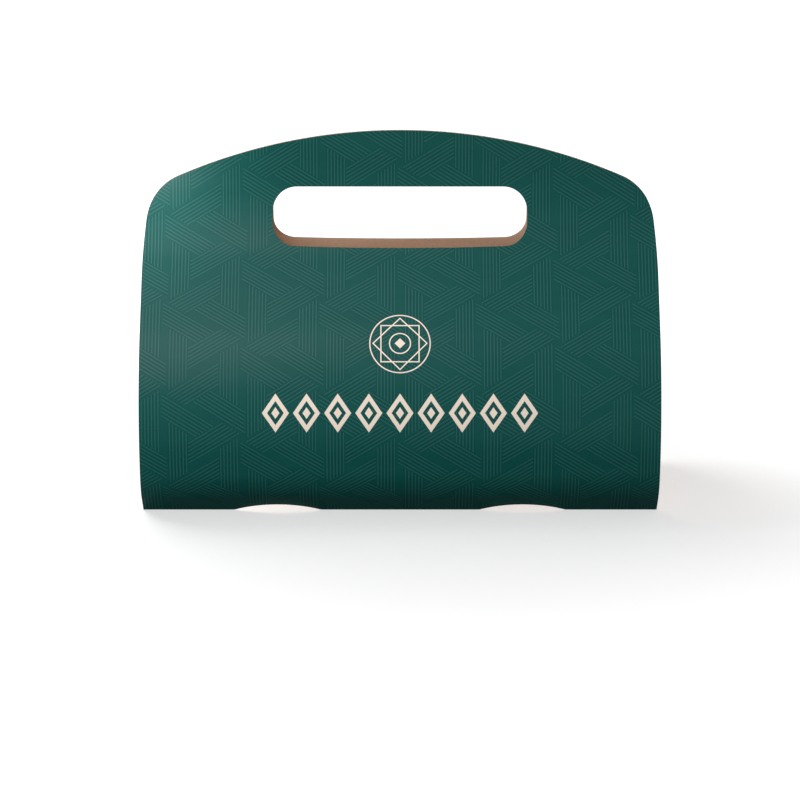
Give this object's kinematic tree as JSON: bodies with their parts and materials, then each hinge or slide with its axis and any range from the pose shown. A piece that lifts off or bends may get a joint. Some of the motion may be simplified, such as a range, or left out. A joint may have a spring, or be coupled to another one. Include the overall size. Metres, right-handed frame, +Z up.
{
  "type": "cardboard cup carrier",
  "caption": "Folded one-piece board carrier for takeaway cups: round holes in a creased flat base, and curved side panels that close on each other at a slotted hand hole.",
  "frame": {"origin": "middle of the base's underside, between the two cup holes, at the level the carrier rests on", "axes": "+X along the row of cups, +Y from the front panel to the back panel, +Z up to the hand hole"},
  "size_m": [0.235, 0.103, 0.1695],
  "materials": {
    "printed_board": "satin print outside, bare kraft inside"
  },
  "bodies": {
    "root": {"carrier_sheet": "printed_board"}
  },
  "joints": []
}
